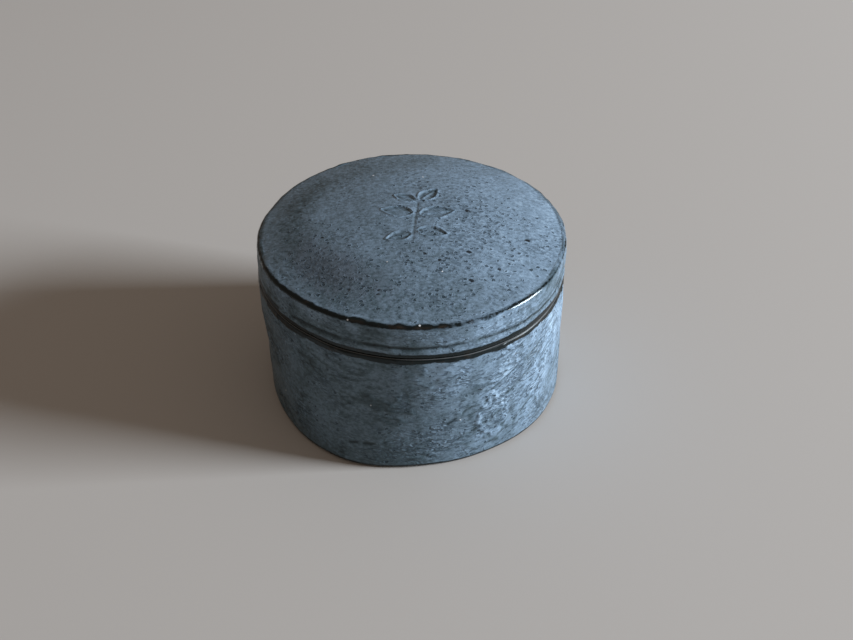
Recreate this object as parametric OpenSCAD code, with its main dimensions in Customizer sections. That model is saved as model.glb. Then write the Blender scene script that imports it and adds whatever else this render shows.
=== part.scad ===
// Round stoneware box: a jar with a gallery rim and a loose domed lid that sits over its collar.
// Millimetres, +Z up, origin at the centre of the foot on the surface that the jar stands on.

/* [Overall] */
// Outer diameter of the jar and of the lid
outer_d = 92; // [80:1:110]
// Height of the shoulder that the lid rests on
shoulder_h = 41; // [32:1:60]

/* [Jar] */
// Thickness of the side wall below the gallery
wall_t = 5; // [4.2:0.2:5.4]
// Thickness of the floor above the foot recess
floor_t = 5; // [4:0.5:8]
// Radius where the floor curves up into the wall
floor_corner_r = 9; // [4:1:14]

/* [Gallery] */
// Width of the shoulder, from the collar to the outer face
shoulder_w = 3.8; // [3.4:0.1:4.4]
// Thickness of the collar that stands up inside the lid
collar_t = 2.6; // [2.2:0.1:3.2]
// Height of the collar above the shoulder
collar_h = 5.5; // [4:0.5:6]
// Gap all round between the collar and the lid
collar_gap = 0.6; // [0.4:0.1:0.8]

/* [Lid] */
// Height of the lid's side above the shoulder, to where the dome would meet it
skirt_h = 11.2; // [11:0.2:16]
// Rise of the dome over the full diameter
dome_rise = 6.2; // [4:0.2:9]
// Thickness of the dome
lid_t = 4; // [3:0.5:4.5]
// Depth of the throwing groove round the lid's side
groove_depth = 0.3; // [0.2:0.05:0.6]

/* [Foot] */
// Distance from the outer face to the foot ring's outer edge
foot_inset = 1.4; // [1:0.1:3]
// Width of the foot ring that touches the table
foot_w = 7; // [5:0.5:10]
// Depth of the recess inside the foot ring
foot_recess = 1.6; // [1:0.2:2.4]

/* [Hidden] */
$fn = 128;

// Edge radii
foot_edge_r = foot_inset;   // outer edge at the table
shoulder_edge_r = 1.4;      // outer edge of the shoulder, below the seam
lip_edge_r = 1.1;           // outer edge of the lid's lip, above the seam
lip_inner_r = 0.8;          // inner edge of the lid's lip
crown_edge_r = 1.6;         // outer edge between the lid's side and its dome
ceiling_corner_r = 2;       // inner corner between the lid's side and its ceiling
recess_corner_r = 1;        // corner of the foot recess
groove_r = 1.8;             // radius of the tool that cuts the throwing groove
groove_at = 0.36;           // place of the groove, as a share of the lid's side from its lip

// Radii and levels worked out from the sizes above
outer_r = outer_d / 2;
wall_inner_r = outer_r - wall_t;
collar_outer_r = outer_r - shoulder_w;
collar_inner_r = collar_outer_r - collar_t;
skirt_inner_r = collar_outer_r + collar_gap;
foot_outer_r = outer_r - foot_inset;
foot_inner_r = foot_outer_r - foot_w;
floor_z = foot_recess + floor_t;
collar_top_z = shoulder_h + collar_h;
throat_h = 2 * (wall_inner_r - collar_inner_r);   // height over which the wall thickens to the collar
dome_r = (pow(outer_r, 2) + pow(dome_rise, 2)) / (2 * dome_rise);
dome_centre_z = shoulder_h + skirt_h + dome_rise - dome_r;
over = 1;   // how far a cutting shape runs past the surface that it cuts

// What a right-angled corner loses when it is rounded to radius r. dx and dy, 1 or -1, point out of the
// corner, which is at [x, y].
module corner_waste(x, y, r, dx, dy) {
    translate([x - dx * r, y - dy * r])
        difference() {
            translate([dx > 0 ? 0 : -r - over, dy > 0 ? 0 : -r - over])
                square(r + over);
            circle(r);
        }
}

// Half section with a flat base at base_z, a straight side at radius r, a domed top of radius ball_r
// about dome_centre_z, and a corner of radius corner_r between the side and the top.
module domed_section(r, base_z, ball_r, corner_r) {
    corner_x = r - corner_r;
    corner_z = dome_centre_z + sqrt(pow(ball_r - corner_r, 2) - pow(corner_x, 2));
    reach = (ball_r + over) / (ball_r - corner_r);
    tangent_x = corner_x * reach;
    tangent_z = dome_centre_z + (corner_z - dome_centre_z) * reach;
    translate([0, base_z])
        square([r, corner_z - base_z]);
    translate([corner_x, corner_z])
        circle(corner_r);
    intersection() {
        translate([0, dome_centre_z])
            circle(ball_r, $fn = 720);
        polygon([
            [0, base_z],
            [corner_x, base_z],
            [corner_x, corner_z],
            [tangent_x, tangent_z],
            [0, tangent_z + dome_rise + over]
        ]);
    }
}

// Half section of the hollow inside the jar, running out past the top of the collar
module jar_hollow() {
    throat_z = shoulder_h - throat_h;
    difference() {
        translate([0, floor_z])
            square([wall_inner_r, throat_z - floor_z]);
        corner_waste(wall_inner_r, floor_z, floor_corner_r, 1, -1);
    }
    polygon([
        [0, throat_z - over],
        [wall_inner_r, throat_z - over],
        [wall_inner_r, throat_z],
        [collar_inner_r, shoulder_h],
        [collar_inner_r, collar_top_z + over],
        [0, collar_top_z + over]
    ]);
}

// Half section of the recess inside the foot ring
module foot_hollow() {
    difference() {
        translate([0, -over])
            square([foot_inner_r, foot_recess + over]);
        corner_waste(foot_inner_r, foot_recess, recess_corner_r, 1, 1);
    }
}

// The jar: wall, floor, foot ring, shoulder and collar, thrown as one piece
module jar_body() {
    color([0.36, 0.45, 0.53])
        rotate_extrude()
            intersection() {
                difference() {
                    union() {
                        square([outer_r, shoulder_h]);
                        translate([0, shoulder_h - over])
                            square([collar_outer_r, collar_h + over - collar_t / 2]);
                        translate([collar_outer_r - collar_t / 2, collar_top_z - collar_t / 2])
                            circle(collar_t / 2);
                    }
                    corner_waste(outer_r, 0, foot_edge_r, 1, -1);
                    corner_waste(outer_r, shoulder_h, shoulder_edge_r, 1, 1);
                    jar_hollow();
                    foot_hollow();
                }
                square([outer_r + over, collar_top_z + over]);
            }
}

// The lid: domed top and straight side, hollow underneath to pass over the collar
module lid() {
    groove_z = shoulder_h + groove_at * skirt_h;
    color([0.38, 0.47, 0.55])
        rotate_extrude()
            intersection() {
                difference() {
                    domed_section(outer_r, shoulder_h, dome_r, crown_edge_r);
                    domed_section(skirt_inner_r, shoulder_h - over, dome_r - lid_t, ceiling_corner_r);
                    corner_waste(outer_r, shoulder_h, lip_edge_r, 1, -1);
                    corner_waste(skirt_inner_r, shoulder_h, lip_inner_r, -1, -1);
                    translate([outer_r - groove_depth + groove_r, groove_z])
                        circle(groove_r);
                }
                translate([0, shoulder_h])
                    square([outer_r + over, skirt_h + dome_rise + over]);
            }
}

jar_body();
lid();
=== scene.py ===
"""A lidded stoneware jar: its glazed, hand-thrown surfaces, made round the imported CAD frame.

Lengths are in millimetres until a mesh is made. A heading is in degrees from +X towards +Y, so the front
is at -90. The light comes from a little to the front of +X.
"""

import math

import bpy
import numpy as np
from mathutils import Matrix, Vector, noise


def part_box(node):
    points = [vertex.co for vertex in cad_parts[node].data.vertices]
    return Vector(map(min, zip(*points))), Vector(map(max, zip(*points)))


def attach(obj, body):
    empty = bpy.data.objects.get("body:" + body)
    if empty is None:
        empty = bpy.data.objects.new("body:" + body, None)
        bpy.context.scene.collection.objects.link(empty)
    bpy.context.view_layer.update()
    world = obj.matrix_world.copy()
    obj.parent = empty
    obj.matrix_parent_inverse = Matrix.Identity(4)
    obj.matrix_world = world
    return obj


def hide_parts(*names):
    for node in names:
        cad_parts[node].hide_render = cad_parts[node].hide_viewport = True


MM = 0.001


# ---------------------------------------------------------------- sizes

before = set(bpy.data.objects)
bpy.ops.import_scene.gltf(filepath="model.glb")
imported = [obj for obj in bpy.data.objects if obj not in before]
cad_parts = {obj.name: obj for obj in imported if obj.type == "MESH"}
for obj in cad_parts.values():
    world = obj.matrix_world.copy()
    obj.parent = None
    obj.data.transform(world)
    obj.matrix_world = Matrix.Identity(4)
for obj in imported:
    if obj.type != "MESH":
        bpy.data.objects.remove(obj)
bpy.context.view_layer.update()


def box_mm(node):
    """A CAD node's lowest and highest corners in millimetres."""
    low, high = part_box(node)
    return np.array(low) / MM, np.array(high) / MM


jar_low, jar_high = box_mm("jar_body")
lid_low, lid_high = box_mm("lid")

OUTER_R = lid_high[0]
FOOT_Z = jar_low[2]
SEAT_Z = lid_low[2]
COLLAR_TOP = jar_high[2]
LID_TOP = lid_high[2]

# Jar
WALL_T = 5.0
SHOULDER_W = 3.8
COLLAR_T = 2.6
FLOOR_T = 5.0
FLOOR_CORNER = 9.0
FOOT_INSET = 1.4
FOOT_W = 7.0
FOOT_RECESS = 1.6
SEAT_EDGE = 0.8
WALL_R = OUTER_R - WALL_T
COLLAR_R = OUTER_R - SHOULDER_W
COLLAR_INNER_R = COLLAR_R - COLLAR_T
COLLAR_ROUND = COLLAR_T / 2 - 0.02
FOOT_INNER_R = OUTER_R - FOOT_INSET - FOOT_W
RECESS_Z = FOOT_Z + FOOT_RECESS
FLOOR_Z = RECESS_Z + FLOOR_T
THROAT_Z = SEAT_Z - 2 * (WALL_R - COLLAR_INNER_R)

# Lid
DOME_RISE = 6.2
LID_T = 4.0
COLLAR_GAP = 0.6
CROWN_EDGE = 0.9
LIP_EDGE = 1.1
GROOVE_AT = 0.36
MOTIF_R = 20.0
SKIRT_R = COLLAR_R + COLLAR_GAP
CROWN_Z = LID_TOP - DOME_RISE
CEILING_Z = CROWN_Z - LID_T
GROOVE_Z = SEAT_Z + GROOVE_AT * (CROWN_Z - SEAT_Z)


# ---------------------------------------------------------------- numbers

SEED_SHIFT = 17.3


def smooth(low, high, value):
    """0 below low, 1 above high, with an even curve between them. It falls if high is the lesser."""
    t = np.clip((value - low) / (high - low), 0.0, 1.0)
    return t * t * (3.0 - 2.0 * t)


def bell(value, width):
    """1 where value is 0, falling away over about width."""
    return np.exp(-((value / width) ** 2))


def past_heading(theta, heading):
    """How many degrees each angle is past a heading, from -180 to 180."""
    return (np.degrees(theta) - heading + 180.0) % 360.0 - 180.0


def toward(theta, heading, spread):
    """1 in the direction of a heading, falling away over about spread degrees."""
    return bell(past_heading(theta, heading), spread)


def lumps(points, size, seed, octaves=3):
    """Noise from about -1 to 1 at each point, with lumps of about that size.

    size is a number, or one for each axis.
    """
    places = points / np.array(size, float) + seed * SEED_SHIFT
    return np.array([noise.fractal(p, 1.0, 2.0, octaves) for p in places.tolist()])


# ---------------------------------------------------------------- turned shapes

AROUND = 608            # vertices in a full fine ring, twice as many as in a plain one
FEWEST_AROUND = 19      # AROUND halved until it is odd
FINE_GAP = 0.22         # least distance between the vertices of a fine ring
PLAIN_GAP = 0.45        # least distance between the vertices of a plain ring
FINE_MARGIN = 2.0       # how far the fine rings run on past the corners that they are for
FINE = 0.44             # distance between fine rings
ARC_STEP = 0.24         # distance between rings round an edge
ARC_SHARE = 0.08        # the same as a share of the edge's radius, used where it is the greater
FEWEST_ARC_STEPS = 4


def unit(vector):
    return vector / np.linalg.norm(vector)


def outline(corners):
    """Samples a rounded outline in the plane of radius and height.

    A corner is (name, radius, height, rounding, spacing of the points before it). Returns the points, how
    far along the outline each one is, and how far along it each corner's middle is.
    """
    points = [np.array(corners[0][1:3], float)]
    middles = {}

    def line_to(end, spacing):
        start = points[-1]
        steps = max(1, round(np.linalg.norm(end - start) / spacing))
        points.extend(start + (end - start) * k / steps for k in range(1, steps + 1))

    for before, corner, after in zip(corners, corners[1:], corners[2:]):
        name, rounding, spacing = corner[0], corner[3], corner[4]
        at = np.array(corner[1:3], float)
        if rounding == 0:
            line_to(at, spacing)
            middles[name] = len(points) - 1
            continue
        back = unit(np.array(before[1:3]) - at)
        ahead = unit(np.array(after[1:3]) - at)
        half_angle = math.acos(back @ ahead) / 2
        centre = at + unit(back + ahead) * rounding / math.sin(half_angle)
        reach = rounding / math.tan(half_angle)
        line_to(at + back * reach, spacing)
        sweep = math.pi - 2 * half_angle
        steps = max(FEWEST_ARC_STEPS, round(rounding * sweep / max(ARC_STEP, ARC_SHARE * rounding)))
        first = at + back * reach - centre
        last = at + ahead * reach - centre
        for k in range(1, steps + 1):
            t = k / steps
            turned = math.sin((1 - t) * sweep) * first + math.sin(t * sweep) * last
            points.append(centre + turned / math.sin(sweep))
            if 2 * k == steps or 2 * k == steps + 1:
                middles[name] = len(points) - 1
    line_to(np.array(corners[-1][1:3], float), corners[-1][4])
    middles[corners[-1][0]] = len(points) - 1
    points = np.array(points)
    along = np.concatenate([[0.0], np.cumsum(np.linalg.norm(np.diff(points, axis=0), axis=1))])
    return points, along, {name: along[k] for name, k in middles.items()}


class Turned:
    """The vertices of a turned surface: one ring for each point of an outline, with fewer vertices where
    the rings are small or plain.

    Each vertex has its angle theta, its radius r, its height z, its distance s along the outline, and the
    outline's normal as out_r and out_z.
    """

    def __init__(self, corners, fine_from, fine_to):
        points, along, self.corner = outline(corners)
        fine_start = self.corner[fine_from] - FINE_MARGIN
        fine_end = self.corner[fine_to] + FINE_MARGIN
        fine = (fine_start <= along) & (along <= fine_end)
        self.counts = [self.count(radius, is_fine) for radius, is_fine in zip(points[:, 0], fine)]
        tangent = np.gradient(points, axis=0)
        tangent /= np.linalg.norm(tangent, axis=1)[:, None]
        rows = np.repeat(np.arange(len(points)), self.counts)
        self.theta = np.concatenate([np.arange(n) * 2 * math.pi / n for n in self.counts])
        self.r, self.z = points[rows].T
        self.s = along[rows]
        self.out_r = tangent[rows, 1]
        self.out_z = -tangent[rows, 0]

    @staticmethod
    def count(radius, is_fine):
        """How many vertices a ring has."""
        if radius == 0:
            return 1
        number, least_gap = (AROUND, FINE_GAP) if is_fine else (AROUND // 2, PLAIN_GAP)
        while number > FEWEST_AROUND and 2 * math.pi * radius / number < least_gap:
            number //= 2
        return number

    def places(self):
        """The vertices as x, y and z."""
        return np.stack([self.r * np.cos(self.theta), self.r * np.sin(self.theta), self.z], axis=1)

    def rim_places(self):
        """A place on one level circle for each vertex, for what changes only with the heading."""
        return OUTER_R * np.stack([np.cos(self.theta), np.sin(self.theta), 0 * self.theta], axis=1)

    def push(self, distance):
        """Moves each vertex outwards along the outline's normal."""
        self.r = self.r + self.out_r * distance
        self.z = self.z + self.out_z * distance

    def faces(self):
        """Faces between neighbouring rings, which have as many vertices, or half or twice as many."""
        faces = []
        start = 0
        for a, b in zip(self.counts, self.counts[1:]):
            low, high = start, start + a
            start = high
            for k in range(max(a, b)):
                if a == b:
                    j = (k + 1) % a
                    faces.append((low + k, low + j, high + j, high + k))
                elif b == 1:
                    faces.append((low + k, low + (k + 1) % a, high))
                elif a == 1:
                    faces.append((low, high + (k + 1) % b, high + k))
                elif k % 2 == 0 and a > b:
                    i, j = k // 2, (k // 2 + 1) % b
                    faces.append((low + k, low + k + 1, high + i))
                    faces.append((low + k + 1, high + j, high + i))
                    faces.append((low + k + 1, low + (k + 2) % a, high + j))
                elif k % 2 == 0:
                    i, j = k // 2, (k // 2 + 1) % a
                    faces.append((low + i, high + k + 1, high + k))
                    faces.append((low + i, low + j, high + k + 1))
                    faces.append((low + j, high + (k + 2) % b, high + k + 1))
        return faces

    def build(self, name, attributes):
        """Makes the mesh object, with a number or a vector at each vertex for every attribute."""
        mesh = bpy.data.meshes.new(name)
        mesh.from_pydata((self.places() * MM).tolist(), [], self.faces())
        mesh.shade_smooth()
        for key, values in attributes.items():
            if values.ndim == 1:
                layer = mesh.attributes.new(key, "FLOAT", "POINT")
                layer.data.foreach_set("value", values.astype(np.float32))
            else:
                layer = mesh.attributes.new(key, "FLOAT_VECTOR", "POINT")
                layer.data.foreach_set("vector", values.astype(np.float32).ravel())
        piece = bpy.data.objects.new(name, mesh)
        bpy.context.scene.collection.objects.link(piece)
        return piece


# ---------------------------------------------------------------- hand-made irregularity

FRONT = math.radians(-90)
BRUSH_BOW = 11.0        # how much lower the brush strokes run at the front than at the sides
BRUSH_STRETCH = 2.6     # how much longer than wide their marks are
LEAN = 60.0             # height over which the wall's drift changes as much as over a radius


def out_of_round(piece):
    """Moves vertices in or out as the clay lost its roundness, the same way for both pieces.

    The wall has lobes low down, a bulge high up on one side, and a slow drift all over.
    """
    rim = np.stack([np.cos(piece.theta), np.sin(piece.theta), piece.z / LEAN], axis=1)
    low_down = 1.0 - smooth(0.0, SEAT_Z, piece.z)
    lobes = 0.6 * np.cos(3 * (piece.theta - math.radians(247)))
    lobes = lobes + 1.5 * toward(piece.theta, 242, 24) + 0.9 * toward(piece.theta, 318, 22)
    high_up = smooth(12.0, SEAT_Z, piece.z) * toward(piece.theta, 188, 26)
    drift = 0.55 * lumps(rim, 0.6, seed=3, octaves=2)
    piece.r = piece.r * (1.0 + (low_down * lobes + high_up + drift) / OUTER_R)


def stroke_space(spots, theta):
    """Coordinates in which the brush's strokes are round: squeezed along the strokes, which bow down
    round the front."""
    height = spots[:, 2] + BRUSH_BOW * np.cos(theta - FRONT)
    return np.stack([spots[:, 0] / BRUSH_STRETCH, spots[:, 1] / BRUSH_STRETCH, height], axis=1)


def brush_marks(spots, strokes, seed):
    """Sharp low wrinkles that a slip brush left, in patches, from 0 to 1."""
    line = np.abs(lumps(strokes, 3.0, seed, octaves=2))
    where = smooth(-0.35, 0.25, lumps(spots, 12.0, seed + 1, octaves=2))
    return smooth(0.24, 0.03, line) * where


def arc_patch(spots, radius, breadth, heading, spread):
    """A soft patch on the lid that follows its rim, with half its breadth in mm and half its spread in
    degrees."""
    theta = np.arctan2(spots[:, 1], spots[:, 0])
    return bell(np.hypot(spots[:, 0], spots[:, 1]) - radius, breadth) * toward(theta, heading, spread)


# ---------------------------------------------------------------- the jar

# Each scratch's two ends, as a heading and a height
SCRATCHES = [
    (-78, 16.5, -69, 21.0),
    (-56, 20.0, -37, 28.0),
    (-61, 25.0, -50, 29.5),
    (-50, 9.0, -36, 16.0),
    (-74, 9.0, -66, 12.5),
    (-113, 9.0, -97, 10.5),
    (-46, 30.0, -36, 33.0),
]
SCRATCH_HALF_W = 0.42

# The ellipse on the wall that the blisters lie round
BLISTER_HEADING = -60.0
BLISTER_Z = 15.0
BLISTER_HALF_W = 4.6
BLISTER_HALF_H = 7.0

MILKY_AND_LIT_HEADING = -22    # the side where the jar's glaze is milkiest and is also painted lighter, as painted light, near the light's heading

# Where the jar's glaze is milkier or, below 0, thinner: how much, the heading and half spread in degrees,
# and the height and half depth in mm
DRIFTS = [
    (0.34, -30, 5, 33, 8),
    (0.08, -34, 8, 21, 8),
    (0.11, -41, 9, 27, 6),
    (0.12, -46, 20, 14, 9),
    (0.09, -57, 9, 32, 6),
    (0.06, -63, 7, 36, 4),
    (-0.12, -73, 9, 24, 10),
    (0.16, -75, 7, 38, 6),
    (0.09, -85, 11, 28, 5),
    (-0.06, -88, 10, 35, 5),
    (-0.05, -91, 10, 19, 5),
    (0.06, -118, 12, 36, 8),
]


def scratches(theta, spots):
    """Fine lines scored in the wet slip, from 0 to 1."""
    wobble = 0.9 * lumps(spots, 5.0, seed=26, octaves=2)
    mark = 0 * theta
    for start_heading, start_z, end_heading, end_z in SCRATCHES:
        across = OUTER_R * np.radians(past_heading(theta, start_heading))
        up = spots[:, 2] - start_z + wobble
        run = OUTER_R * math.radians(end_heading - start_heading)
        rise = end_z - start_z
        t = np.clip((across * run + up * rise) / (run ** 2 + rise ** 2), 0.0, 1.0)
        mark = np.maximum(mark, bell(np.hypot(across - t * run, up - t * rise), SCRATCH_HALF_W))
    return mark * smooth(-0.5, 0.2, lumps(spots, 3.0, seed=27, octaves=2))


def blister_loop(theta, spots):
    """A loop of blisters on the wall: where they lie and how high they stand, each from 0 to 1; the height
    also sets their painted highlights.
    """
    across = OUTER_R * np.radians(past_heading(theta, BLISTER_HEADING)) / BLISTER_HALF_W
    off_loop = np.hypot(across, (spots[:, 2] - BLISTER_Z) / BLISTER_HALF_H)
    where = np.maximum(bell(off_loop - 1.0, 0.30), 0.35 * bell(off_loop, 1.3))
    cells = np.abs(lumps(spots, (2.2, 2.2, 3.0), seed=24, octaves=2))
    return where, smooth(0.1, 0.7, 1.0 - 2.4 * cells)


def jar_milk_and_painted_light(spots, strokes, theta):
    """How thick and milky the jar's glaze lies, from 0 to 1: drifting clouds, drawn down where it ran, with
    painted light on the side towards the light and painted shade low down away from it.
    """
    clouds = lumps(spots, (9.0, 9.0, 12.0), seed=41, octaves=4)
    runs = lumps(spots, (3.0, 3.0, 16.0), seed=42, octaves=2)
    streaks = lumps(strokes, (3.0, 3.0, 3.5), seed=46, octaves=3)
    upper = smooth(4.0, 30.0, spots[:, 2])
    low_down = 1.0 - smooth(3.0, 14.0, spots[:, 2])
    # Partly milkier glaze and partly painted light: the side towards the light is drawn lighter
    milky_and_lit_side = smooth(0.0, 0.92, np.cos(theta - math.radians(MILKY_AND_LIT_HEADING)))
    clouded = clouds * (0.4 + 0.6 * upper) * (0.08 + 0.19 * milky_and_lit_side)
    clouded = clouded + 0.10 * runs * (0.3 + milky_and_lit_side) + 0.10 * streaks * milky_and_lit_side
    drifts = 0.07 * toward(theta, -136.0, 30.0) + 0.03 * toward(theta, -22.0, 14.0)
    # Painted shade: the glaze is drawn darker low down, away from the light, near the floor
    drifts = drifts - 0.06 * low_down * (1.0 - milky_and_lit_side)
    for amount, heading, spread, height, depth in DRIFTS:
        drifts = drifts + amount * toward(theta, heading, spread) * bell(spots[:, 2] - height, depth)
    return np.clip(0.29 + clouded + drifts + (0.24 + 0.14 * upper) * milky_and_lit_side, 0.0, 1.0)


def make_jar():
    """The jar: foot, wall, shoulder, collar and inside in one closed mesh."""
    # Name, radius, height, rounding and the spacing of the points before it
    corners = [
        ("under", 0, RECESS_Z, 0, 0),
        ("recess", FOOT_INNER_R, RECESS_Z, 0.8, 2.5),
        ("foot_in", FOOT_INNER_R, FOOT_Z, 0.5, 0.5),
        ("foot", OUTER_R, FOOT_Z, 1.3, 1.2),
        ("shoulder", OUTER_R, SEAT_Z, SEAT_EDGE, FINE),
        ("seat", COLLAR_R, SEAT_Z, 0.4, 0.6),
        ("collar_out", COLLAR_R, COLLAR_TOP, COLLAR_ROUND, 0.8),
        ("collar_in", COLLAR_INNER_R, COLLAR_TOP, COLLAR_ROUND, 0.5),
        ("throat_top", COLLAR_INNER_R, SEAT_Z, 1.5, 0.8),
        ("throat", WALL_R, THROAT_Z, 2.0, 0.8),
        ("floor_edge", WALL_R, FLOOR_Z, FLOOR_CORNER, 2.0),
        ("floor", 0, FLOOR_Z, 0, 2.5),
    ]
    jar = Turned(corners, "foot", "shoulder")
    spots = jar.places()
    strokes = stroke_space(spots, jar.theta)
    foot, shoulder, collar_in = jar.corner["foot"], jar.corner["shoulder"], jar.corner["collar_in"]
    outside = (jar.s > foot - 2.0) & (jar.s < shoulder + 1.0)
    side = outside * smooth(0.3, 3.0, jar.z) * (1.0 - smooth(SEAT_Z - 0.6, SEAT_Z - 0.1, jar.z))

    marks = side * brush_marks(spots, strokes, seed=11)
    scored = side * scratches(jar.theta, spots)
    blister_place, blisters = blister_loop(jar.theta, spots)
    blistered = side * blister_place
    dents = 0.16 * lumps(spots, 15.0, seed=21, octaves=2)
    wrinkles = 0.07 * lumps(strokes, 1.6, seed=23, octaves=2)
    skin = 0.03 * lumps(spots, 2.4, seed=22, octaves=2)
    jar.push(side * (dents + wrinkles + skin) + 0.22 * marks + 0.50 * blistered * blisters - 0.26 * scored)
    out_of_round(jar)

    rim_band = 1.5 + 0.5 * toward(jar.theta, 215.0, 40.0)
    rim_band = rim_band + 0.55 * lumps(jar.rim_places(), 7.0, seed=31, octaves=3)
    thin_rim = 1.0 - smooth(-0.4, 0.4, SEAT_Z - spots[:, 2] - rim_band)
    thin_foot = 1.0 - smooth(1.0, 1.8, spots[:, 2])
    thin_edges = np.maximum(thin_rim, thin_foot)
    bare_foot = 1.0 - smooth(foot - 1.2, foot - 0.4, jar.s)
    past_shoulder = smooth(shoulder + 0.5, shoulder + 1.2, jar.s)
    bare_collar = past_shoulder * (1.0 - smooth(collar_in + 1.5, collar_in + 3.0, jar.s))
    return jar.build("jar_glazed", {
        # The blisters' tops are drawn milkier, as painted highlights on them, in a patch drawn a little
        # darker
        "milk_and_painted_light": jar_milk_and_painted_light(spots, strokes, jar.theta) + blistered * (0.45 * blisters - 0.10),
        "wall": side,
        "pits": 0.25 * side,
        "dusk": np.zeros(len(side)),
        "ridge": np.maximum(marks, 2.6 * scored),
        "thin": outside * np.maximum(thin_edges, 0.42 * smooth(0.75, 1.0, marks)),
        "gloss": 0.3 * outside * thin_edges,
        "line": bell(jar.s - shoulder, 0.22),
        "bare": np.maximum(bare_foot, bare_collar),
        "stroke": strokes,
    })


# ---------------------------------------------------------------- the lid

GLINT_HEADING = -46.0   # where the crown mirrors the light
TOP_GRAIN = 1.4         # how much coarser the brush's grain is on the dome, where it has no direction

# Each leaf's foot in x and y, its heading and its length
LEAVES = [
    (0.3, -8.5, 200, 8.0),
    (0.6, -6.8, -14, 9.0),
    (0.9, 1.2, 166, 10.0),
    (1.2, 0.6, 14, 11.0),
    (1.5, 8.0, 150, 7.5),
    (1.6, 8.2, 52, 9.0),
]
STEM_HALF_W = 0.45
VEIN_HALF_W = 0.34
LEAF_HALF_W = 0.27      # as a share of the leaf's length


def sprig(x, y):
    """A sprig near the middle of the lid: where it is pressed in and where its lines stand up."""
    stem_x = 0.8 + 0.9 * np.sin(y / 9.0)
    pressed = 0.6 * bell(x - stem_x, STEM_HALF_W) * smooth(-13.0, -11.0, y) * (1.0 - smooth(7.0, 9.0, y))
    raised = 0 * x
    for foot_x, foot_y, heading, length in LEAVES:
        turn = math.radians(heading)
        along = (x - foot_x) * math.cos(turn) + (y - foot_y) * math.sin(turn)
        across = (y - foot_y) * math.cos(turn) - (x - foot_x) * math.sin(turn)
        t = np.clip((along - 0.8) / length, 0.0, 1.0)
        past_edge = np.abs(across) - LEAF_HALF_W * length * np.sin(math.pi * t ** 0.8)
        on_leaf = (t > 0) * (t < 1)
        vein = bell(across, VEIN_HALF_W) * smooth(0.06, 0.14, t) * (1.0 - smooth(0.75, 0.9, t))
        pressed = np.maximum(pressed, smooth(-0.3, 0.3, -past_edge) * on_leaf)
        raised = np.maximum(raised, np.maximum(vein, bell(past_edge - 0.15, 0.32)) * on_leaf)
    return pressed, raised


def throwing_lines(theta, spots, rim):
    """The groove that wanders round the lid's side and the fainter line above it, each from 0 to 1."""
    wander = 0.9 * lumps(rim, 26.0, seed=51, octaves=2) + 0.35 * lumps(rim, 5.0, seed=52, octaves=2)
    wander = wander - 1.8 * toward(theta, 195.0, 32.0)
    above = spots[:, 2] - GROOVE_Z
    groove = bell(above - wander, 0.8) * smooth(-1.0, 0.0, lumps(rim, 7.0, seed=58, octaves=2))
    faint = bell(above - 0.5 * wander - 2.2, 0.5) * smooth(-0.3, 0.4, lumps(rim, 9.0, seed=60, octaves=2))
    return groove, faint * (1.0 + toward(theta, -34.0, 18.0))


def crown_glaze(theta, past_crown, rim):
    """How the glaze lies round the lid's crown. past_crown is how far past that edge, towards the middle of
    the dome, each vertex is.

    Returns how thin and how glossy the glaze is, where it pooled beside the edge and where the clay shows.
    """
    glint = toward(theta, GLINT_HEADING, 14.0)
    fray = lumps(rim, 5.0, seed=61, octaves=3) * (1.0 - 0.6 * toward(theta, -60.0, 16.0))
    broken = toward(theta, 266.0, 17.0) * smooth(-0.2, 0.5, lumps(rim, 6.0, seed=63, octaves=2))
    half_band = 0.30 + 0.34 * toward(theta, 235.0, 50.0) + 0.34 * fray + 0.62 * broken
    half_band = half_band - 0.3 * toward(theta, -12.0, 20.0)
    half_band = np.maximum(half_band, 0.20 * toward(theta, -50.0, 30.0))
    half_band = half_band + 0.32 * toward(theta, -64.0, 12.0)
    past_gloss = past_crown - 0.1 - 0.5 * broken
    past_thin = past_gloss - 0.55 * glint
    speckled = 1.0 - 0.42 * toward(theta, -66.0, 13.0)
    thin = speckled * (1.0 - smooth(-0.6, 0.8, np.abs(past_thin) - half_band))
    off_gloss = np.abs(past_gloss) - half_band - 0.25 * glint
    gloss = (1.0 - 0.30 * glint) * (1.0 - smooth(0.2, 0.7, off_gloss))
    pooled = bell(past_thin - half_band - 0.7, 0.5) * toward(theta, 262.0, 40.0)
    clay = 0.8 * broken * bell(past_thin + 0.25, 0.35)
    return thin, gloss, pooled, clay


def lip_glaze(theta, spots, rim):
    """How thin the glaze is along the lid's lip."""
    band = 1.4 + 0.3 * np.cos(theta - math.radians(-35)) + 0.6 * toward(theta, 215.0, 40.0)
    band = band + 0.7 * toward(theta, -38.0, 28.0) + 0.3 * lumps(rim, 9.0, seed=62, octaves=2)
    return 1.0 - smooth(-0.4, 0.4, spots[:, 2] - SEAT_Z - band)


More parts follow.
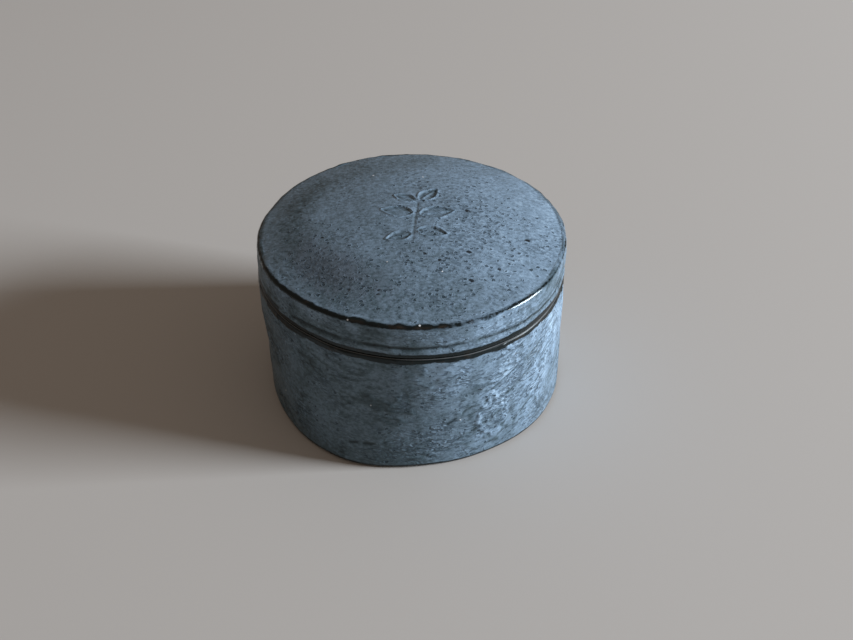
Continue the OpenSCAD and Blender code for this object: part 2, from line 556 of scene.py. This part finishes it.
def lid_milk_and_painted_light(spots, theta, side):
    """How milky the lid's glaze lies: even over the dome, and cloudier down the side, both also painted
    lighter towards the light as painted light.
    """
    x, y = spots[:, 0], spots[:, 1]
    even = 0.535 + 0.08 * lumps(spots, 14.0, seed=43, octaves=3)
    even = even - 0.12 * smooth(-2.0, -40.0, y) - 0.10 * smooth(10.0, 40.0, y)
    # Partly milkier glaze and partly painted light: the dome is drawn lighter towards +X, where the light
    # comes from
    milky_and_lit_right = 0.225 * smooth(-12.0, 38.0, x)
    smear = arc_patch(spots, radius=36.0, breadth=5.0, heading=170.0, spread=38.0)
    smear = smear * (1.0 + 0.35 * lumps(spots, (6.0, 1.6, 5.0), seed=45, octaves=2))
    # The side is drawn lighter towards heading -30, near the light: partly milkier glaze and partly painted
    # light
    cloudy = 0.42 + 0.24 * lumps(spots, 7.0, seed=44, octaves=3) + 0.16 * np.cos(theta - math.radians(-30))
    cloudy = cloudy + 0.08 * toward(theta, -150.0, 22.0) - 0.08 * toward(theta, -104.0, 14.0)
    cloudy = cloudy + 0.14 * toward(theta, -62.0, 16.0) - 0.06 * toward(theta, -30.0, 14.0)
    return np.clip(side * cloudy + (1.0 - side) * (even + milky_and_lit_right - 0.27 * smear), 0.0, 1.0)


def make_lid():
    """The lid: dome, side, lip and hollow in one closed mesh."""
    # Name, radius, height, rounding and the spacing of the points before it
    corners = [
        ("ceiling", 0, CEILING_Z, 0, 0),
        ("ceiling_edge", SKIRT_R, CEILING_Z, 2.0, 1.5),
        ("lip_in", SKIRT_R, SEAT_Z, 0.8, 0.8),
        ("lip", OUTER_R, SEAT_Z, LIP_EDGE, 0.5),
        ("crown", OUTER_R, CROWN_Z, CROWN_EDGE, 0.36),
        ("motif", MOTIF_R, CROWN_Z, 0, FINE),
        ("top", 0, CROWN_Z, 0, 0.27),
    ]
    lid = Turned(corners, "lip", "top")
    spots = lid.places()
    strokes = stroke_space(spots, lid.theta)
    rim = lid.rim_places()
    ceiling_edge, lip = lid.corner["ceiling_edge"], lid.corner["lip"]
    past_crown = lid.s - lid.corner["crown"]
    outer = lid.s > lip - 0.6
    side = outer * (past_crown < 1.5) * smooth(SEAT_Z + 0.3, SEAT_Z + 1.5, lid.z)
    top = outer * smooth(-0.5, 2.5, past_crown)

    # Relief, which dies away at the crown where it catches the light, so that the glint there is unbroken
    groove, faint = throwing_lines(lid.theta, spots, rim)
    groove, faint = side * groove, side * faint
    marks = side * brush_marks(spots, strokes, seed=14)
    dents = 0.12 * lumps(spots, 12.0, seed=53, octaves=2)
    skin = 0.03 * lumps(spots, 2.4, seed=54, octaves=2) + 0.05 * lumps(strokes, 1.6, seed=59, octaves=2)
    ragged_edge = bell(past_crown, 1.5) * 0.16 * lumps(rim, 5.5, seed=55, octaves=2)
    swells = 0.16 * lumps(spots, 17.0, seed=56, octaves=2) + 0.03 * lumps(spots, 2.0, seed=57, octaves=2)
    pressed, raised = sprig(spots[:, 0], spots[:, 1])
    side_relief = side * (dents + skin) - 0.42 * groove - 0.15 * faint + 0.15 * marks + ragged_edge
    top_relief = top * (swells + 0.30 * raised - 0.28 * pressed)
    calm = 0.985 * bell(past_crown, 4.5) * smooth(0.0, 0.8, toward(lid.theta, -44.0, 26.0))
    flat = 0.14 * bell(past_crown, 4.0) + 0.16 * bell(past_crown, 1.1)
    lid.push((1.0 - calm) * (side_relief + top_relief) - flat * toward(lid.theta, GLINT_HEADING, 10.0))

    # The outline's top is level, and the dome is raised here
    rise = DOME_RISE * (1.0 - (spots[:, 0] ** 2 + spots[:, 1] ** 2) / OUTER_R ** 2)
    lid.z = lid.z + rise * smooth(SEAT_Z + 2.0, CEILING_Z - 0.5, spots[:, 2])
    out_of_round(lid)

    thin_crown, gloss_crown, pooled, broken_clay = crown_glaze(lid.theta, past_crown, rim)
    thin_lip = lip_glaze(lid.theta, spots, rim)
    thin_groove = 0.52 * smooth(0.4, 0.9, groove)
    dusk = top * arc_patch(spots, radius=33.0, breadth=9.0, heading=222.0, spread=38.0)
    pitted = bell(spots[:, 0] - 16.0, 23.0) * bell(spots[:, 1] + 9.0, 27.0)
    before_lip = 1.0 - smooth(lip - 0.6, lip, lid.s)
    bare_inside = smooth(ceiling_edge + 1.0, ceiling_edge + 2.0, lid.s) * before_lip
    milk_and_painted_light = lid_milk_and_painted_light(spots, lid.theta, side) + 0.18 * pooled
    return lid.build("lid_glazed", {
        # The sprig's raised lines are drawn lighter and its pressed hollows darker
        "milk_and_painted_light": milk_and_painted_light + top * (0.10 * raised - 0.12 * pressed),
        "wall": 0.6 * side,
        "pits": 0.25 * side + top * np.maximum(dusk, pitted),
        "dusk": dusk,
        "ridge": np.maximum(0.7 * marks, 2.0 * np.maximum(groove, 0.5 * faint)),
        "thin": outer * np.maximum(np.maximum(thin_crown, thin_lip), thin_groove),
        "gloss": outer * np.maximum(gloss_crown, 0.3 * thin_lip),
        "line": np.zeros(len(side)),
        "bare": np.maximum(bare_inside, broken_clay),
        "stroke": side[:, None] * strokes + (1.0 - side)[:, None] * spots / TOP_GRAIN,
    })


# ---------------------------------------------------------------- materials

class Shader:
    """A material's nodes, with a short call for each kind that the glaze uses.

    A value given to a call is a number or another node's socket.
    """

    def __init__(self, name):
        self.material = bpy.data.materials.new(name)
        self.material.use_nodes = True
        self.tree = self.material.node_tree
        self.bsdf = self.tree.nodes["Principled BSDF"]
        coordinates = self.add("ShaderNodeTexCoord", {})
        self.mm = self.add("ShaderNodeVectorMath", {0: coordinates.outputs["Object"], "Scale": 1 / MM},
                           operation="SCALE").outputs[0]

    def add(self, kind, inputs, **settings):
        node = self.tree.nodes.new(kind)
        for key, value in settings.items():
            setattr(node, key, value)
        for key, value in inputs.items():
            if isinstance(value, bpy.types.NodeSocket):
                self.tree.links.new(value, node.inputs[key])
            else:
                node.inputs[key].default_value = value
        return node

    def surface(self, key, value):
        """Gives a value to the surface itself."""
        self.tree.links.new(value, self.bsdf.inputs[key])

    def attribute(self, name, output="Fac"):
        return self.add("ShaderNodeAttribute", {}, attribute_name=name).outputs[output]

    def maths(self, operation, a, b):
        return self.add("ShaderNodeMath", {0: a, 1: b}, operation=operation).outputs[0]

    def times(self, a, b):
        return self.maths("MULTIPLY", a, b)

    def absolute(self, value):
        return self.add("ShaderNodeMath", {0: value}, operation="ABSOLUTE").outputs[0]

    def most(self, first, *others):
        """The greatest of the values."""
        result = first
        for other in others:
            result = self.maths("MAXIMUM", result, other)
        return result

    def total(self, *terms):
        """The sum of values, each given as (value, weight)."""
        result = 0.0
        for value, weight in terms:
            node = self.add("ShaderNodeMath", {0: value, 1: weight, 2: result}, operation="MULTIPLY_ADD")
            result = node.outputs[0]
        return result

    def step(self, value, low, high, start=0.0, end=1.0):
        """start where the value is below low, end where it is above high, with an even curve between them."""
        inputs = {"Value": value, "From Min": low, "From Max": high, "To Min": start, "To Max": end}
        return self.add("ShaderNodeMapRange", inputs, interpolation_type="SMOOTHSTEP").outputs["Result"]

    def mix(self, amount, a, b):
        """Colour a where the amount is 0, and b where it is 1."""
        return self.add("ShaderNodeMix", {0: amount, 6: a, 7: b}, data_type="RGBA").outputs[2]

    def ramp(self, value, stops):
        node = self.add("ShaderNodeValToRGB", {"Fac": value})
        elements = node.color_ramp.elements
        while len(elements) < len(stops):
            elements.new(1.0)
        for element, (place, colour) in zip(elements, stops):
            element.position = place
            element.color = colour
        return node.outputs["Color"]

    def noise(self, size, seed, detail=3.0, roughness=0.55, where=None):
        """Noise about 0, from -0.5 to 0.5."""
        inputs = {
            "Vector": where or self.mm,
            "W": seed,
            "Scale": 1 / size,
            "Detail": detail,
            "Roughness": roughness,
        }
        value = self.add("ShaderNodeTexNoise", inputs, noise_dimensions="4D").outputs[0]
        return self.maths("SUBTRACT", value, 0.5)

    def specks(self, spacing, share, radius, seed, where=None):
        """Round spots of up to that radius, in a share of cells that are that far apart."""
        shift = (seed, 2 * seed, 3 * seed)
        moved = self.add("ShaderNodeVectorMath", {0: where or self.mm, 1: shift}).outputs[0]
        cells = self.add("ShaderNodeTexVoronoi", {"Vector": moved, "Scale": 1 / spacing})
        chance = self.add("ShaderNodeSeparateColor", {0: cells.outputs["Color"]}).outputs[0]
        above = self.maths("SUBTRACT", chance, self.maths("SUBTRACT", 1.0, share))
        least, greatest = 0.35 * radius / spacing, radius / spacing
        sizes = {"Value": above, "From Min": 0.0, "From Max": 0.25, "To Min": least, "To Max": greatest}
        size = self.add("ShaderNodeMapRange", sizes).outputs["Result"]
        spot = self.step(self.maths("SUBTRACT", size, cells.outputs["Distance"]), 0.0, least)
        return self.times(spot, self.maths("GREATER_THAN", above, 0.0))


# Colours are red, green, blue and alpha
THIN_TO_MILKY = [
    (0.00, (0.021, 0.036, 0.045, 1)),
    (0.25, (0.070, 0.112, 0.141, 1)),
    (0.50, (0.153, 0.227, 0.302, 1)),
    (0.75, (0.236, 0.350, 0.482, 1)),
    (1.00, (0.380, 0.542, 0.710, 1)),
]
DEEP_BLUE = (0.022, 0.042, 0.064, 1)
DUSK = (0.062, 0.066, 0.082, 1)
PIT = (0.010, 0.013, 0.018, 1)
THIN_BLACK = (0.0045, 0.0090, 0.0105, 1)
THIN_BROWN = (0.017, 0.016, 0.014, 1)
SEAM_LINE = (0.15, 0.16, 0.17, 1)
# The colour of the painted glints, pale specks that stand for tiny highlights
PAINTED_GLINT = (0.75, 0.80, 0.85, 1)
CLAY_DARK = (0.045, 0.030, 0.021, 1)
CLAY_LIGHT = (0.085, 0.060, 0.043, 1)


def glaze(name):
    """Satin blue-grey glaze over dark stoneware, with milky drifts, dark pits, broken edges and bare clay.

    The mesh's attributes say how milky it is, with painted light and shade added, and where it is on a
    brushed wall, pitted, dusky, on a ridge, thin, glossy, on the seam's pale line, or worn to bare clay.
    """
    s = Shader(name)
    strokes = s.attribute("stroke", "Vector")
    milk_and_painted_light, dusk, ridge = s.attribute("milk_and_painted_light"), s.attribute("dusk"), s.attribute("ridge")
    thin, line, bare = s.attribute("thin"), s.attribute("line"), s.attribute("bare")
    wall, pits, gloss = s.attribute("wall"), s.attribute("pits"), s.attribute("gloss")

    # Unevenness of several sizes
    squeezed = s.add("ShaderNodeVectorMath", {0: s.mm, 1: (0.7, 1.0, 1.0)}, operation="MULTIPLY").outputs[0]
    wobble = s.add("ShaderNodeTexNoise", {"Vector": s.mm, "Scale": 1 / 0.9, "Detail": 1.0}).outputs["Color"]
    moved = {0: wobble, 1: (0.9, 0.9, 0.9), 2: squeezed}
    uneven = s.add("ShaderNodeVectorMath", moved, operation="MULTIPLY_ADD").outputs[0]
    grain = s.noise(0.8, seed=1, detail=2.5, roughness=0.6, where=squeezed)
    patch = s.noise(2.6, seed=2, detail=3.0, roughness=0.6)
    drift = s.noise(12.0, seed=3, detail=2.0)
    streak = s.noise(0.8, seed=4, detail=2.5, where=strokes)
    flecks = s.noise(1.0, seed=8, detail=2.5, where=squeezed)
    wave = s.noise(2.2, seed=10, detail=2.0, where=strokes)
    on_wall = s.times(s.total((grain, -0.30), (patch, -0.14)), wall)

    # Creases in the brushed wall, each with a crest beside it. The creases are painted dark as the shade
    # beside each crest, and the crests are painted lighter as the light on them; both are also relief
    creased = s.times(s.step(s.total((drift, 1.0), (patch, 0.3)), -0.10, 0.12), wall)
    creases_and_painted_shade = s.times(s.step(s.absolute(wave), 0.012, 0.05, 1.0, 0.0), creased)
    off_crest = s.absolute(s.maths("SUBTRACT", wave, 0.08))
    crests_and_painted_light = s.times(s.step(off_crest, 0.012, 0.045, 1.0, 0.0), creased)
    dashes = s.times(s.step(s.total((streak, 1.0), (drift, 0.20)), 0.04, 0.12), wall)

    # Pits, the rims round them, blots, and painted glints: pale specks painted as tiny highlights
    crowd = s.step(s.total((drift, 0.8), (pits, 0.7)), -0.1, 0.6, 0.10, 0.90)
    small = s.specks(spacing=1.45, share=crowd, radius=0.50, seed=5, where=uneven)
    rimmed = s.specks(spacing=1.45, share=crowd, radius=0.72, seed=5, where=uneven)
    rims = s.maths("SUBTRACT", rimmed, small)
    large_share = s.total((pits, 0.36), (1.0, 0.01))
    large = s.specks(spacing=3.0, share=large_share, radius=0.90, seed=6, where=uneven)
    blots = s.step(s.total((flecks, 1.0), (drift, 0.3), (pits, 0.10)), 0.07, 0.20)
    painted_edge_glints = s.times(s.specks(spacing=1.8, share=0.30, radius=0.40, seed=9), s.step(gloss, 0.3, 0.8))
    painted_glints = s.most(s.specks(spacing=5.2, share=0.16, radius=0.55, seed=7), painted_edge_glints)

    # Colour
    # The crests are painted a little lighter, as painted light on them
    thickness = s.total((milk_and_painted_light, 1.0), (grain, 0.95), (patch, 0.42), (small, -0.12), (rims, 0.05),
                        (on_wall, 1.0), (ridge, -0.18), (crests_and_painted_light, 0.08))
    colour = s.ramp(thickness, THIN_TO_MILKY)
    dusky = s.step(s.total((dusk, 1.0), (patch, 1.2), (grain, 0.6)), 0.15, 1.0, 0.0, 0.5)
    colour = s.mix(dusky, colour, DUSK)
    dashed = s.times(dashes, s.step(milk_and_painted_light, 0.25, 0.60, 0.34, 0.64))
    # The creases' painted shade is drawn deep blue, together with the pits, blots and dashes
    deep = s.most(s.times(creases_and_painted_shade, 0.60), s.times(small, 0.70), s.times(blots, 0.42), dashed)
    colour = s.mix(deep, colour, DEEP_BLUE)
    colour = s.mix(s.times(large, 0.92), colour, PIT)
    dark = s.step(s.total((thin, 1.0), (grain, 1.1), (patch, 0.3), (streak, 0.5)), 0.26, 0.78)
    colour = s.mix(dark, colour, s.mix(s.step(patch, 0.06, 0.16), THIN_BLACK, THIN_BROWN))
    colour = s.mix(s.step(line, 0.4, 0.9, 0.0, 0.8), colour, SEAM_LINE)
    # Painted glints: pale specks painted as tiny highlights, more of them on the glossy edges
    colour = s.mix(painted_glints, colour, PAINTED_GLINT)
    colour = s.mix(bare, colour, s.mix(s.step(grain, -0.2, 0.2), CLAY_DARK, CLAY_LIGHT))
    s.surface("Base Color", colour)

    # Gloss
    s.surface("Roughness", s.total((grain, 0.15), (gloss, -0.34), (line, 0.10), (bare, 0.30), (1.0, 0.42)))
    s.bsdf.inputs["Specular IOR Level"].default_value = 0.34
    s.bsdf.inputs["Specular Tint"].default_value = (0.85, 0.95, 1.0, 1)

    # Fine relief, which the glossy glaze fills
    relief = s.total((grain, 0.8), (patch, 0.7), (streak, 0.8), (small, -0.7), (rims, 0.5), (blots, -0.4),
                     (large, -1.2), (creases_and_painted_shade, -1.2), (crests_and_painted_light, 1.3))
    height = s.times(relief, s.step(gloss, 0.0, 0.3, 1.0, 0.0))
    bump = s.add("ShaderNodeBump", {"Strength": 0.9, "Distance": 0.10 * MM, "Height": height})
    s.surface("Normal", bump.outputs[0])
    return s.material


# ---------------------------------------------------------------- assembly

jar = make_jar()
jar.data.materials.append(glaze("jar_glaze"))
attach(jar, "jar")
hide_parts("jar_body")

lid = make_lid()
lid.data.materials.append(glaze("lid_glaze"))
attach(lid, "lid")
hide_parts("lid")


# ---------------------------------------------------------------- floor, light and camera

FLOOR_HALF = 3.0        # metres
CAMERA_AT = (0.0, -317.3, 267.8)
CAMERA_DOWN = 38.1      # degrees below level
CAMERA_TURN = -0.75     # degrees
CAMERA_ROLL = 0.15      # degrees


def make_floor():
    material = bpy.data.materials.new("floor_matt")
    material.use_nodes = True
    bsdf = material.node_tree.nodes["Principled BSDF"]
    bsdf.inputs["Base Color"].default_value = (0.56, 0.55, 0.535, 1)
    bsdf.inputs["Roughness"].default_value = 0.85
    half = FLOOR_HALF
    corners = [(-half, -half, 0), (half, -half, 0), (half, half, 0), (-half, half, 0)]
    mesh = bpy.data.meshes.new("floor")
    mesh.from_pydata(corners, [], [(0, 1, 2, 3)])
    mesh.materials.append(material)
    floor = bpy.data.objects.new("floor", mesh)
    bpy.context.scene.collection.objects.link(floor)


def soft_light(name, heading, elevation, distance, width, height, power, colour):
    """A rectangular light that faces the object from that direction. Its lengths are in metres."""
    light = bpy.data.lights.new(name, "AREA")
    light.shape = "RECTANGLE"
    light.size = width
    light.size_y = height
    light.energy = power
    light.color = colour
    level = math.cos(math.radians(elevation))
    towards = Vector((level * math.cos(math.radians(heading)), level * math.sin(math.radians(heading)),
                      math.sin(math.radians(elevation))))
    lamp = bpy.data.objects.new(name, light)
    turn = towards.to_track_quat("Z", "Y").to_matrix().to_4x4()
    lamp.matrix_world = Matrix.Translation(towards * distance) @ turn
    lamp.visible_camera = False
    bpy.context.scene.collection.objects.link(lamp)


def make_world():
    world = bpy.data.worlds.new("room")
    world.use_nodes = True
    background = world.node_tree.nodes["Background"]
    background.inputs["Color"].default_value = (1.0, 0.80, 0.65, 1)
    background.inputs["Strength"].default_value = 0.20
    bpy.context.scene.world = world


def make_camera():
    data = bpy.data.cameras.new("camera")
    data.lens = 54.0
    data.sensor_width = 36.0
    camera = bpy.data.objects.new("camera", data)
    camera.matrix_world = (
        Matrix.Translation(Vector(CAMERA_AT) * MM)
        @ Matrix.Rotation(math.radians(CAMERA_TURN), 4, "Z")
        @ Matrix.Rotation(math.radians(90 - CAMERA_DOWN), 4, "X")
        @ Matrix.Rotation(math.radians(CAMERA_ROLL), 4, "Z")
    )
    bpy.context.scene.collection.objects.link(camera)
    bpy.context.scene.camera = camera


make_floor()
soft_light("window", heading=-6, elevation=20, distance=3.0, width=0.9, height=0.85, power=138,
           colour=(0.955, 1.0, 1.05))
make_world()
make_camera()
bpy.context.scene.view_settings.view_transform = "Standard"
